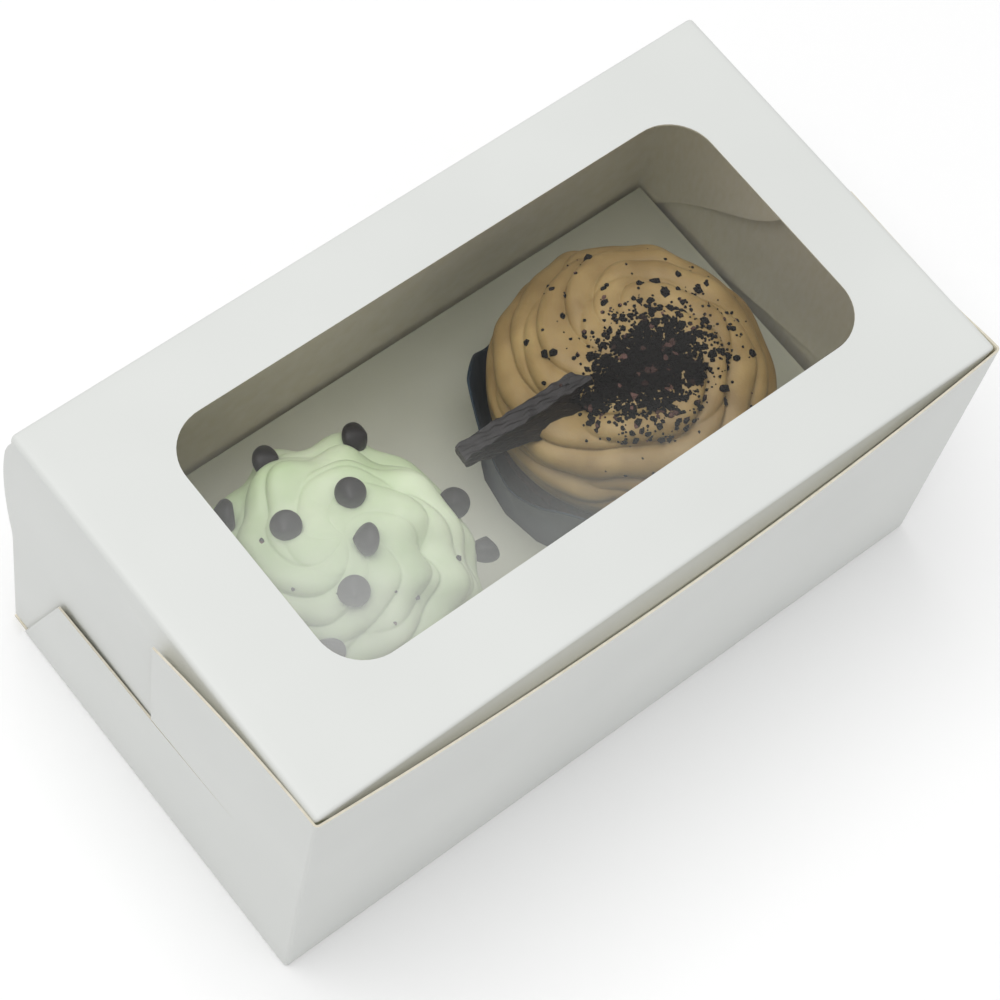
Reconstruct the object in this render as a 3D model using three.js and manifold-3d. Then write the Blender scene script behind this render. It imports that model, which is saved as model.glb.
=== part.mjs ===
// A windowed cupcake carton folded from white board, with two iced cupcakes standing in its insert.
// Millimetres, +Z up. X runs along the carton's length, +Y towards the lid's hinge.
// The origin is the middle of the base's underside, on the surface that the carton stands on.
import * as THREE from "three";
import { mergeVertices } from "three/addons/utils/BufferGeometryUtils.js";
import Module from "manifold-3d";

const wasm = await Module();
wasm.setup();

// Board and film
const BOARD = 0.45;
const FILM = 0.2;
const GLUE_LINE = 0.1;
const FOLD_GAP = 0.3;

// Cupcakes
const LINER_FOOT_RADIUS = 24;
const LINER_RIM_RADIUS = 27.5;
const LINER_HEIGHT = 36;
const PAPER = 0.4;
const FLUTE_COUNT = 36;
const FLUTE_DEPTH = 0.7;
const MINT_ICING_SETBACK = 1.5;
const MOCHA_ICING_RADIUS = 28;
const ICING_HEIGHT = 26;
const ICING_SHOULDER = 0.25;
const ICING_ROUNDNESS = 0.72;
const ICING_FOOT_INSET = 4;
const SWIRL_TURNS = 3;
const SWIRL_DEPTH = 1.5;
const SPONGE_SHOULDER = 4;
const FOOD_GAP = 0.3;

// Pointed paper liner of the mocha cupcake
const PETAL_COUNT = 5;
const PETAL_TURN = 148;
const PETAL_RISE = 9.5;
const PETAL_DIP = 3;
const PETAL_FLARE = 2.4;

// Chocolate pieces
const CHIP_RADIUS = 3.1;
const CHIP_HEIGHT = 6.2;
const CHIP_LIFT = 0.65;
const BAR_LENGTH = 29;
const BAR_WIDTH = 3.4;
const BAR_END_HEIGHT = 3.6;
const BAR_ROOT_HEIGHT = 9;
const BAR_TURN = 4;
const BAR_TILT = -9;
const BAR_ROOT_X = -13;
const BAR_ROOT_Y = 1.2;
const CRUMB_LAYER = 1.3;
const CRUMB_RADIUS = 12;
const CRUMB_X = -2;
const CRUMB_Y = -4;

// Each drop's angle round the mint icing in degrees, its share of the way up, how far it lies over
// from upright, and the way that its tip then points, in degrees.
const CHIPS = [
  [90, 0.4, 70, 300],
  [46, 0.31, 60, 284],
  [45, 0.88, 50, 231],
  [136, 0.82, 50, 238],
  [302, 0.955, 75, 150],
  [352, 0.3, 55, 190],
  [241, 0.8, 35, 231],
  [226, 0.5, 40, 60],
  [334, 0.12, 70, 55],
  [127, 0.42, 70, 150],
];

// Room round the cupcakes, which sets the carton's inside
const BETWEEN_ROOM = 16;
const END_ROOM = 15.9;
const SIDE_ROOM = 16.55;
const HEAD_ROOM = 14.3;
const PAIR_SHIFT = -2.4;

// Insert
const TRAY_HEIGHT = 17.5;
const TRAY_GAP = 0.6;
const HOLE_GAP = 0.6;

// End walls
const TONGUE_HEIGHT = 35.8;
const TONGUE_FOOT_SETBACK = 3.9;
const TONGUE_TOP_SETBACK = 16.6;
const TONGUE_SPRING = 0.7;
const SLIT_LENGTH = 22.6;
const SLIT_WIDTH = 0.4;
const SLIT_RISE = 2.4;
const LEFT_CORNER_SPRING = 3.8;
const RIGHT_CORNER_SPRING = 0.3;

// Front wall
const FRONT_LEAN = 1.2;
const FRONT_BOW = 2.1;
const TAB_WIDTH = 15;
const TAB_INSET = 1.5;

// Corner flaps of the back wall
const CORNER_FLAP_REACH = 40;
const CORNER_FLAP_FOOT = 1.5;

// Lid
const TUCK_HEIGHT = 17;
const TUCK_LEAN = 8;
const TUCK_END_SETBACK = 4;
const TUCK_CORNER = 9;
const END_FLAP_FRONT_SETBACK = 10;
const END_FLAP_FLOOR = 1;
const END_FLAP_NOSE = 25;
const END_FLAP_BULGE = 2.3;
const WINDOW_LEFT = 20.8;
const WINDOW_RIGHT = 15.8;
const WINDOW_FRONT = 17.1;
const WINDOW_BACK = 15;
const WINDOW_CORNER = 9.5;
const FILM_LAP = 6;

// Sizes that follow from those above
const insideFloor = BOARD;
const linerFoot = insideFloor + FOLD_GAP;
const linerRim = linerFoot + LINER_HEIGHT;
const icingFoot = linerRim + FOOD_GAP;
const icingTop = icingFoot + ICING_HEIGHT;
const lidUnder = icingTop + HEAD_ROOM;
const cartonHeight = lidUnder + BOARD;
const mintRadius = LINER_RIM_RADIUS - MINT_ICING_SETBACK;
const icingRadius = Math.max(mintRadius, MOCHA_ICING_RADIUS);
const cupcakeX = icingRadius + BETWEEN_ROOM / 2;
const endLayer = BOARD + FOLD_GAP;
const innerHalf = cupcakeX + icingRadius + END_ROOM;
const backHalf = innerHalf - BOARD;
const lidHalf = backHalf + endLayer;
const wallHalf = lidHalf + endLayer;
const backY = icingRadius + SIDE_ROOM + BOARD;
const frontY = -backY;
const lidFrontY = frontY + BOARD;
const wallTop = cartonHeight;
const backTop = lidUnder - FOLD_GAP;

const radians = THREE.MathUtils.degToRad;
const mix = THREE.MathUtils.lerp;

// Materials
const whiteBoard = new THREE.MeshStandardMaterial({ color: 0xe6e8e6, roughness: 0.62 });
const trayBoard = new THREE.MeshStandardMaterial({ color: 0xdcdcd4, roughness: 0.7 });
const clearFilm = new THREE.MeshStandardMaterial({
  color: 0xdfe4e4,
  roughness: 0.12,
  transparent: true,
  opacity: 0.25,
});
const whitePaper = new THREE.MeshStandardMaterial({ color: 0xe9e6dc, roughness: 0.8 });
const darkPaper = new THREE.MeshStandardMaterial({ color: 0x22262c, roughness: 0.7 });
const vanillaSponge = new THREE.MeshStandardMaterial({ color: 0xd9b77c, roughness: 0.95 });
const chocolateSponge = new THREE.MeshStandardMaterial({ color: 0x3a2418, roughness: 0.95 });
const mintIcing = new THREE.MeshStandardMaterial({ color: 0xcfe0c0, roughness: 0.5 });
const mochaIcing = new THREE.MeshStandardMaterial({ color: 0xb88a5c, roughness: 0.5 });
const chocolate = new THREE.MeshStandardMaterial({ color: 0x2a1d1a, roughness: 0.4 });

// Turns a closed geometry into a solid that can be cut and joined.
function solid(geometry) {
  const bare = geometry.clone();
  bare.deleteAttribute("normal");
  bare.deleteAttribute("uv");
  const merged = mergeVertices(bare, 1e-4);
  return new wasm.Manifold(
    new wasm.Mesh({
      numProp: 3,
      vertProperties: new Float32Array(merged.attributes.position.array),
      triVerts: new Uint32Array(merged.index.array),
    }),
  );
}

// Turns a solid back into a geometry to draw.
function geometryOf(body) {
  const mesh = body.getMesh();
  const positions = new Float32Array(mesh.numVert * 3);
  for (let i = 0; i < mesh.numVert; i++) {
    for (let axis = 0; axis < 3; axis++) {
      positions[i * 3 + axis] = mesh.vertProperties[i * mesh.numProp + axis];
    }
  }
  const geometry = new THREE.BufferGeometry();
  geometry.setAttribute("position", new THREE.BufferAttribute(positions, 3));
  geometry.setIndex(new THREE.BufferAttribute(mesh.triVerts, 1));
  geometry.computeVertexNormals();
  return geometry;
}

function joined(bodies) {
  return bodies.reduce((whole, body) => whole.add(body));
}

function block(lowX, highX, lowY, highY, lowZ, highZ) {
  const geometry = new THREE.BoxGeometry(highX - lowX, highY - lowY, highZ - lowZ);
  geometry.translate((lowX + highX) / 2, (lowY + highY) / 2, (lowZ + highZ) / 2);
  return solid(geometry);
}

// A flat plate cut from a shape drawn in Y and Z, standing at nearX and one thickness deep towards +X.
function endPlate(shape, nearX, thickness) {
  const geometry = new THREE.ExtrudeGeometry(shape, { depth: thickness, bevelEnabled: false, curveSegments: 8 });
  geometry.applyMatrix4(new THREE.Matrix4().set(0, 0, 1, nearX, 1, 0, 0, 0, 0, 1, 0, 0, 0, 0, 0, 1));
  return solid(geometry);
}

function mirroredX(body) {
  return body.mirror([1, 0, 0]);
}

// A bent sheet: place(u, v, w) gives the point at u and v across the sheet and w through its thickness.
// u, v and w each run from 0 to 1 and must turn like X, Y and Z, so that the faces point out.
function bentSheet(acrossU, acrossV, place) {
  const positions = [];
  const index = [];
  const row = acrossU + 1;
  const layer = row * (acrossV + 1);
  for (let w = 0; w < 2; w++) {
    for (let j = 0; j <= acrossV; j++) {
      for (let i = 0; i <= acrossU; i++) {
        positions.push(...place(i / acrossU, j / acrossV, w));
      }
    }
  }
  const quad = (a, b, c, d) => index.push(a, b, c, a, c, d);
  for (let j = 0; j < acrossV; j++) {
    for (let i = 0; i < acrossU; i++) {
      const a = j * row + i;
      quad(a + row, a + row + 1, a + 1, a);
      quad(layer + a, layer + a + 1, layer + a + row + 1, layer + a + row);
    }
  }
  for (let i = 0; i < acrossU; i++) {
    const far = acrossV * row + i;
    quad(i, i + 1, layer + i + 1, layer + i);
    quad(far + 1, far, layer + far, layer + far + 1);
  }
  for (let j = 0; j < acrossV; j++) {
    const left = j * row;
    const right = left + acrossU;
    quad(left + row, left, layer + left, layer + left + row);
    quad(right, right + row, layer + right + row, layer + right);
  }
  const geometry = new THREE.BufferGeometry();
  geometry.setAttribute("position", new THREE.Float32BufferAttribute(positions, 3));
  geometry.setIndex(index);
  return solid(geometry);
}

// A closed body round the Z axis. ring(k, angle) gives [radius, height] on ring k.
// The first and last rings are single points on the axis, low end first and outside before inside.
function spun(around, rings, ring) {
  const positions = [0, 0, ring(0, 0)[1]];
  for (let k = 1; k < rings; k++) {
    for (let i = 0; i < around; i++) {
      const angle = (i / around) * Math.PI * 2;
      const [radius, height] = ring(k, angle);
      positions.push(radius * Math.cos(angle), radius * Math.sin(angle), height);
    }
  }
  positions.push(0, 0, ring(rings, 0)[1]);
  const last = positions.length / 3 - 1;
  const index = [];
  for (let i = 0; i < around; i++) {
    const next = (i + 1) % around;
    index.push(0, 1 + next, 1 + i);
    for (let k = 0; k < rings - 2; k++) {
      const low = 1 + k * around;
      const high = low + around;
      index.push(low + i, low + next, high + next, low + i, high + next, high + i);
    }
    const top = 1 + (rings - 2) * around;
    index.push(top + i, top + next, last);
  }
  const geometry = new THREE.BufferGeometry();
  geometry.setAttribute("position", new THREE.Float32BufferAttribute(positions, 3));
  geometry.setIndex(index);
  return geometry;
}

// The front wall's outer face: it leans out a little towards its top and bows out at mid-length.
function frontFaceY(x, z) {
  const rise = z / wallTop;
  const middle = 1 - Math.min(1, Math.abs(x) / wallHalf) ** 2;
  return frontY - FRONT_LEAN * rise - FRONT_BOW * middle * rise ** 1.5;
}

// A strip of the front wall's curve between two X values, from one depth behind its outer face to another.
function frontStrip(steps, fromX, toX, fromZ, toZ, nearDepth, farDepth) {
  return bentSheet(steps, 4, (u, v, w) => {
    const x = mix(fromX, toX, u);
    const z = mix(fromZ, toZ, v);
    return [x, frontFaceY(x, z) + mix(farDepth, nearDepth, w), z];
  });
}

// The lower half of an end wall, drawn at the left: a tongue that springs out a little at its rear edge.
function tongue() {
  const rearAt = (rise) => backY - mix(TONGUE_FOOT_SETBACK, TONGUE_TOP_SETBACK, rise);
  return bentSheet(8, 3, (u, v, w) => {
    const z = v * TONGUE_HEIGHT;
    const y = mix(rearAt(v), frontFaceY(wallHalf, z), u);
    const behind = Math.max(0, y / rearAt(v));
    return [-wallHalf - TONGUE_SPRING * behind * v * v + BOARD * (1 - w), y, z];
  });
}

// The upper front part of an end wall, drawn at the left. Its free rear corner springs away from the lid.
function upperEnd(spring) {
  return bentSheet(8, 5, (u, v, w) => {
    const z = mix(TONGUE_HEIGHT, wallTop, v);
    const y = mix(0, frontFaceY(wallHalf, z), u);
    return [-wallHalf - spring * (1 - u) ** 1.6 * v + BOARD * (1 - w), y, z];
  });
}

// The cut that frees the sprung corner from the tongue, rising a little towards the front.
function slit() {
  const reach = LEFT_CORNER_SPRING + BOARD * 2;
  const shape = new THREE.Shape();
  shape.moveTo(1, TONGUE_HEIGHT - SLIT_WIDTH);
  shape.lineTo(1, TONGUE_HEIGHT + SLIT_WIDTH);
  shape.lineTo(-SLIT_LENGTH, TONGUE_HEIGHT + SLIT_RISE);
  shape.lineTo(-SLIT_LENGTH, TONGUE_HEIGHT + SLIT_RISE - SLIT_WIDTH);
  shape.closePath();
  return endPlate(shape, -wallHalf - reach, reach + BOARD + FOLD_GAP / 2);
}

// The back wall's corner flap, which stands innermost in the end's layers. Its front edge is swept.
function cornerFlap() {
  const top = backTop - 1;
  const front = backY - CORNER_FLAP_REACH;
  const shape = new THREE.Shape();
  shape.moveTo(backY, CORNER_FLAP_FOOT);
  shape.quadraticCurveTo(mix(front, backY, 0.5), top * 0.45, mix(front, backY, 0.1), top * 0.7);
  shape.quadraticCurveTo(front - 1, top * 0.92, mix(front, backY, 0.18), top);
  shape.lineTo(backY, top);
  shape.closePath();
  return endPlate(shape, -backHalf, BOARD);
}

function cartonBody() {
  const base = block(-wallHalf, wallHalf, frontY, backY, 0, BOARD);
  const front = frontStrip(16, -wallHalf, wallHalf, 0, wallTop, 0, BOARD);
  const back = block(-backHalf, backHalf, backY - BOARD, backY, 0, backTop);
  const lap = BOARD / 3;
  const tab = frontStrip(3, -wallHalf, -wallHalf + TAB_WIDTH, TAB_INSET, wallTop - TAB_INSET, BOARD - lap, BOARD * 2);
  const end = (spring) => {
    const wall = joined([tongue(), upperEnd(spring)]).subtract(slit());
    return joined([wall, tab, cornerFlap()]);
  };
  return joined([base, front, back, end(LEFT_CORNER_SPRING), mirroredX(end(RIGHT_CORNER_SPRING))]);
}

// The lid's end flap, tucked between the end wall and the corner flap. Its rear edge bulges out.
function endFlap() {
  const front = lidFrontY + FOLD_GAP;
  const shape = new THREE.Shape();
  shape.moveTo(front, cartonHeight);
  shape.quadraticCurveTo(front + END_FLAP_FRONT_SETBACK * 0.3, mix(cartonHeight, END_FLAP_NOSE, 0.7),
    front + END_FLAP_FRONT_SETBACK * 2, END_FLAP_NOSE);
  shape.quadraticCurveTo(mix(front, backY, 0.5), END_FLAP_NOSE * 0.9, mix(front, backY, 0.72), END_FLAP_NOSE * 0.62);
  shape.quadraticCurveTo(mix(front, backY, 0.85), END_FLAP_FLOOR, backY - 2, END_FLAP_FLOOR);
  shape.lineTo(backY, END_FLAP_FLOOR + 2);
  shape.lineTo(backY, cartonHeight * 0.48);
  shape.quadraticCurveTo(backY + END_FLAP_BULGE, cartonHeight * 0.55, backY + END_FLAP_BULGE, cartonHeight * 0.66);
  shape.quadraticCurveTo(backY + END_FLAP_BULGE, cartonHeight * 0.85, backY, cartonHeight);
  shape.closePath();
  return endPlate(shape, -lidHalf, BOARD);
}

// A rectangle with round corners, drawn in X and Y.
function roundedRectangle(lowX, highX, lowY, highY, radius) {
  const shape = new THREE.Shape();
  shape.moveTo(lowX + radius, lowY);
  shape.lineTo(highX - radius, lowY);
  shape.absarc(highX - radius, lowY + radius, radius, -Math.PI / 2, 0, false);
  shape.lineTo(highX, highY - radius);
  shape.absarc(highX - radius, highY - radius, radius, 0, Math.PI / 2, false);
  shape.lineTo(lowX + radius, highY);
  shape.absarc(lowX + radius, highY - radius, radius, Math.PI / 2, Math.PI, false);
  shape.lineTo(lowX, lowY + radius);
  shape.absarc(lowX + radius, lowY + radius, radius, Math.PI, Math.PI * 1.5, false);
  return shape;
}

// A level plate from a shape drawn in X and Y.
function levelPlate(shape, lowZ, thickness) {
  const geometry = new THREE.ExtrudeGeometry(shape, { depth: thickness, bevelEnabled: false, curveSegments: 10 });
  geometry.translate(0, 0, lowZ);
  return solid(geometry);
}

function windowOutline(lap) {
  return roundedRectangle(
    -lidHalf + WINDOW_LEFT - lap,
    lidHalf - WINDOW_RIGHT + lap,
    lidFrontY + WINDOW_FRONT - lap,
    backY - WINDOW_BACK + lap,
    WINDOW_CORNER,
  );
}

// The lid's front flap, folded down inside the front wall and leaning back into the carton.
function tuckFlap() {
  const half = lidHalf - TUCK_END_SETBACK;
  const shape = new THREE.Shape();
  shape.moveTo(-half, -BOARD / 2);
  shape.lineTo(-half, -TUCK_HEIGHT + TUCK_CORNER);
  shape.quadraticCurveTo(-half + 1, -TUCK_HEIGHT, -half + TUCK_CORNER, -TUCK_HEIGHT);
  shape.lineTo(half - TUCK_CORNER, -TUCK_HEIGHT);
  shape.quadraticCurveTo(half - 1, -TUCK_HEIGHT, half, -TUCK_HEIGHT + TUCK_CORNER);
  shape.lineTo(half, -BOARD / 2);
  shape.closePath();
  const geometry = new THREE.ExtrudeGeometry(shape, { depth: BOARD, bevelEnabled: false, curveSegments: 6 });
  geometry.translate(0, 0, -BOARD);
  geometry.rotateX(Math.PI / 2 + radians(TUCK_LEAN));
  geometry.translate(0, lidFrontY, cartonHeight);
  return solid(geometry);
}

function lid() {
  const outline = new THREE.Shape();
  outline.moveTo(-lidHalf, lidFrontY);
  outline.lineTo(lidHalf, lidFrontY);
  outline.lineTo(lidHalf, backY);
  outline.lineTo(-lidHalf, backY);
  outline.closePath();
  outline.holes.push(windowOutline(0));
  const panel = levelPlate(outline, lidUnder, BOARD);
  const leftFlap = endFlap();
  return joined([panel, tuckFlap(), leftFlap, mirroredX(leftFlap)]);
}

function windowFilm() {
  return levelPlate(windowOutline(FILM_LAP), lidUnder - GLUE_LINE - FILM, FILM);
}

// The radius of a liner's outside at a height.
function linerRadius(z) {
  return mix(LINER_FOOT_RADIUS, LINER_RIM_RADIUS, (z - linerFoot) / LINER_HEIGHT);
}

// The insert: a card table with a hole for each cupcake, standing on its two folded legs.
function insertTray() {
  const half = backHalf - BOARD - TRAY_GAP;
  const top = insideFloor + FOLD_GAP + TRAY_HEIGHT;
  const holeRadius = linerRadius(top) + FLUTE_DEPTH + HOLE_GAP;
  const edge = backY - BOARD * 2 - TRAY_GAP;
  const outline = new THREE.Shape();
  outline.moveTo(-half, -edge);
  outline.lineTo(half, -edge);
  outline.lineTo(half, edge);
  outline.lineTo(-half, edge);
  outline.closePath();
  for (const side of [-1, 1]) {
    const hole = new THREE.Path();
    hole.absarc(side * cupcakeX + PAIR_SHIFT, 0, holeRadius, 0, Math.PI * 2, true);
    outline.holes.push(hole);
  }
  const table = levelPlate(outline, top - BOARD, BOARD);
  const frontLeg = block(-half, half, -edge, -edge + BOARD, linerFoot, top);
  const backLeg = block(-half, half, edge - BOARD, edge, linerFoot, top);
  return joined([table, frontLeg, backLeg]);
}

// A fluted paper cup: outside up, over the rim and down the inside.
function flutedLiner() {
  const rings = 9;
  return spun(FLUTE_COUNT * 3, rings, (k, angle) => {
    const inside = k > 4;
    const share = [0, 0, 0.33, 0.66, 1, 1, 0.66, 0.33, 0, 0][k];
    const flute = FLUTE_DEPTH * Math.max(share, 0.25) * Math.cos(FLUTE_COUNT * angle);
    const radius = mix(LINER_FOOT_RADIUS, LINER_RIM_RADIUS, share) + flute - (inside ? PAPER : 0);
    const floor = share === 0 && inside ? PAPER : 0;
    return [radius, linerFoot + share * LINER_HEIGHT + floor];
  });
}

// How far the pointed liner's petals stand up at an angle, from 0 between two petals to 1 at a point.
function petal(angle) {
  return (0.5 + 0.5 * Math.cos(PETAL_COUNT * (angle - radians(PETAL_TURN)))) ** 0.8;
}

// A paper cup folded from a square sheet, with pointed petals that stand up round the icing.
function pointedLiner() {
  const rings = 15;
  return spun(60, rings, (k, angle) => {
    const inside = k > 7;
    const share = [0, 0, 0.2, 0.4, 0.6, 0.75, 0.88, 1, 1, 0.88, 0.75, 0.6, 0.4, 0.2, 0, 0][k];
    const rim = linerRim - PETAL_DIP + (PETAL_RISE + PETAL_DIP) * petal(angle);
    const height = mix(linerFoot, rim, share);
    const straight = linerRadius(Math.min(height, linerRim));
    const out = (MOCHA_ICING_RADIUS + FOOD_GAP + SWIRL_DEPTH - LINER_RIM_RADIUS) * share ** 3;
    const flare = PETAL_FLARE * petal(angle) * share ** 6;
    const floor = share === 0 && inside ? PAPER : 0;
    return [straight + out + flare - (inside ? PAPER : 0), height + floor];
  });
}

// The baked cake inside a liner, with a low domed top.
function sponge() {
  const wall = PAPER + FLUTE_DEPTH + FOOD_GAP;
  const foot = linerFoot + PAPER + FOOD_GAP;
  const top = linerRim - SPONGE_SHOULDER;
  const profile = [
    new THREE.Vector2(0, foot),
    new THREE.Vector2(linerRadius(foot) - wall, foot),
    new THREE.Vector2(linerRadius(top) - wall, top),
    new THREE.Vector2((linerRadius(top) - wall) * 0.7, top + SPONGE_SHOULDER * 0.65),
    new THREE.Vector2(0, linerRim),
  ];
  const geometry = new THREE.LatheGeometry(profile, 40);
  geometry.rotateX(Math.PI / 2);
  return geometry;
}

// The piped icing: a dome on a flat foot, with one groove that winds from its foot to its tip.
// The groove's depth follows a rectified sine of the height and the angle together.
function icingSurface(share, angle, radius, extra) {
  const slope = (share * Math.PI) / 2;
  const reach = radius * Math.cos(slope) ** ICING_ROUNDNESS;
  const wave = Math.abs(Math.sin(Math.PI * (SWIRL_TURNS * share - angle / (Math.PI * 2)))) ** 0.7;
  const fade = Math.min(1, share * 8) * Math.min(1, (1 - share) * 3);
  const bulge = SWIRL_DEPTH * (wave - 0.6) * fade;
  return [
    Math.max(0.2, reach + (bulge + extra) * Math.cos(slope * 0.8)),
    icingFoot + ICING_HEIGHT * mix(ICING_SHOULDER, 1, Math.sin(slope)) + (bulge * 0.6 + extra) * Math.sin(slope),
  ];
}

function icing(radius, extra = 0) {
  const rings = 17;
  return spun(48, rings, (k, angle) => {
    if (k === 0) return [0, icingFoot];
    if (k === 1) return [radius - ICING_FOOT_INSET + extra, icingFoot];
    return icingSurface((k - 2) / (rings - 2), angle, radius, extra);
  });
}

// A chocolate drop: flat foot, round shoulder and a drawn tip.
function chip(grow = 0) {
  const radius = CHIP_RADIUS + grow;
  const height = CHIP_HEIGHT + grow;
  const profile = [
    new THREE.Vector2(0, -grow),
    new THREE.Vector2(radius * 0.82, -grow),
    new THREE.Vector2(radius, height * 0.2),
    new THREE.Vector2(radius * 0.9, height * 0.45),
    new THREE.Vector2(radius * 0.55, height * 0.68),
    new THREE.Vector2(radius * 0.2, height * 0.88),
    new THREE.Vector2(0, height),
  ];
  const geometry = new THREE.LatheGeometry(profile, 12);
  geometry.rotateX(Math.PI / 2);
  return geometry;
}

function chipPlace([turn, share, lean, tip]) {
  const angle = radians(turn);
  const [radius, height] = icingSurface(share, angle, mintRadius, 0);
  const [radiusAbove, heightAbove] = icingSurface(share + 0.02, angle, mintRadius, 0);
  const outward = new THREE.Vector3(Math.cos(angle), Math.sin(angle), 0);
  const upSlope = outward.clone().multiplyScalar(radiusAbove - radius);
  upSlope.z = heightAbove - height;
  const side = new THREE.Vector3(-Math.sin(angle), Math.cos(angle), 0);
  const normal = side.clone().cross(upSlope).normalize();
  const way = new THREE.Vector3(Math.cos(radians(tip)), Math.sin(radians(tip)), 0);
  way.addScaledVector(normal, -way.dot(normal)).normalize();
  const axis = normal.clone().multiplyScalar(Math.cos(radians(lean)));
  axis.addScaledVector(way, Math.sin(radians(lean)));
  const turnTo = new THREE.Quaternion().setFromUnitVectors(new THREE.Vector3(0, 0, 1), axis);
  const spot = outward.multiplyScalar(radius);
  spot.z = height;
  spot.addScaledVector(normal, CHIP_RADIUS * CHIP_LIFT * Math.sin(radians(lean)));
  spot.addScaledVector(axis, -CHIP_HEIGHT * 0.3);
  return new THREE.Matrix4().compose(spot, turnTo, new THREE.Vector3(1, 1, 1));
}

// The chocolate bar stands on edge in the mocha icing and reaches out over the gap between the cupcakes.
// It is shallow at its free end and deeper at its root, and tilts down towards its free end.
function bar(grow = 0) {
  const shape = new THREE.Shape();
  shape.moveTo(grow, grow);
  shape.lineTo(-BAR_LENGTH - grow, grow);
  shape.lineTo(-BAR_LENGTH - grow, -BAR_END_HEIGHT - grow);
  shape.lineTo(grow, -BAR_ROOT_HEIGHT - grow);
  shape.closePath();
  const depth = BAR_WIDTH + grow * 2;
  const geometry = new THREE.ExtrudeGeometry(shape, { depth, bevelEnabled: false });
  geometry.translate(0, 0, -depth / 2);
  geometry.rotateX(Math.PI / 2);
  geometry.rotateY(radians(BAR_TILT));
  geometry.rotateZ(radians(-BAR_TURN));
  geometry.translate(BAR_ROOT_X, BAR_ROOT_Y, icingTop - BAR_WIDTH / 2);
  return geometry;
}

// Crumbs strewn over the mocha icing: a thin layer that follows the icing inside a round patch.
function crumbLayer(mochaBody, socket) {
  const patch = new THREE.CylinderGeometry(CRUMB_RADIUS, CRUMB_RADIUS, ICING_HEIGHT, 24);
  patch.rotateX(Math.PI / 2);
  patch.translate(CRUMB_X, CRUMB_Y, icingTop - ICING_HEIGHT * 0.1);
  return solid(icing(MOCHA_ICING_RADIUS, FOOD_GAP + CRUMB_LAYER))
    .intersect(solid(patch))
    .subtract(solid(icing(MOCHA_ICING_RADIUS, FOOD_GAP)))
    .subtract(socket)
    .subtract(mochaBody);
}

const box = new THREE.Group();

function place(parent, name, geometry, material) {
  const mesh = new THREE.Mesh(geometry, material);
  mesh.name = name;
  parent.add(mesh);
  return mesh;
}

place(box, "carton_body", geometryOf(cartonBody()), whiteBoard);
place(box, "lid", geometryOf(lid()), whiteBoard);
place(box, "window_film", geometryOf(windowFilm()), clearFilm);
place(box, "insert_tray", geometryOf(insertTray()), trayBoard);

const mint = new THREE.Group();
mint.position.x = -cupcakeX + PAIR_SHIFT;
place(mint, "mint_liner", flutedLiner(), whitePaper);
place(mint, "mint_sponge", sponge(), vanillaSponge);
let mintBody = solid(icing(mintRadius));
CHIPS.forEach((chipRow, i) => {
  const spot = chipPlace(chipRow);
  mintBody = mintBody.subtract(solid(chip(FOOD_GAP).applyMatrix4(spot)));
  place(mint, "chocolate_chip_" + String(i + 1).padStart(2, "0"), chip().applyMatrix4(spot), chocolate);
});
place(mint, "mint_icing", geometryOf(mintBody), mintIcing);
box.add(mint);

const mocha = new THREE.Group();
mocha.position.x = cupcakeX + PAIR_SHIFT;
place(mocha, "mocha_liner", pointedLiner(), darkPaper);
place(mocha, "mocha_sponge", sponge(), chocolateSponge);
const barSocket = solid(bar(FOOD_GAP));
const mochaBody = solid(icing(MOCHA_ICING_RADIUS)).subtract(barSocket);
place(mocha, "mocha_icing", geometryOf(mochaBody), mochaIcing);
place(mocha, "chocolate_bar", bar(), chocolate);
place(mocha, "chocolate_crumbs", geometryOf(crumbLayer(mochaBody, barSocket)), chocolate);
box.add(mocha);

export default box;
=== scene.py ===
"""A windowed cupcake carton of folded white board, with a mint and a mocha cupcake inside.

Shapes are worked out in millimetres in the carton's own frame and stored in metres. Lengths below are
in millimetres and angles in radians unless a comment says otherwise.
"""

import bmesh
import bpy
import numpy as np
from mathutils import Matrix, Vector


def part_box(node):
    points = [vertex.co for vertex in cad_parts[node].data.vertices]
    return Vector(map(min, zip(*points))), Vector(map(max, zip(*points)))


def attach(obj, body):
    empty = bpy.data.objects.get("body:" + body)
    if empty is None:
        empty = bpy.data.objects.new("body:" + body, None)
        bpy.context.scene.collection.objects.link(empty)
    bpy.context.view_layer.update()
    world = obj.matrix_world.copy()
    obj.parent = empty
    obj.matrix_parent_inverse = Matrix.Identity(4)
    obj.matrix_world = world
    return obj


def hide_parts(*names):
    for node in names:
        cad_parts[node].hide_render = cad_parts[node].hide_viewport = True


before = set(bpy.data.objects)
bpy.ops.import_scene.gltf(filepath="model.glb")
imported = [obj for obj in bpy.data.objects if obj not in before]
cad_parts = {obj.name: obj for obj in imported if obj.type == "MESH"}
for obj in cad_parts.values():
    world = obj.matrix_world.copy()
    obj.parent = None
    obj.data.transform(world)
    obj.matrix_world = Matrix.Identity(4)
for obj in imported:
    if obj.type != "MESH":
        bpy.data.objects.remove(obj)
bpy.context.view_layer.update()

MM = 0.001

# Read from the frame
wall_high = np.array(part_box("carton_body")[1]) / MM
lid_low, lid_high = np.array(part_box("lid")) / MM
film_low, film_high = np.array(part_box("window_film")) / MM
HEIGHT = wall_high[2]
BACK_Y = wall_high[1]
LID_HALF = lid_high[0]
LID_FRONT_Y = lid_low[1]
MINT_X = (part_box("mint_sponge")[0][0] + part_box("mint_sponge")[1][0]) / 2 / MM
MOCHA_X = (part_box("mocha_sponge")[0][0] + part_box("mocha_sponge")[1][0]) / 2 / MM

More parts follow.
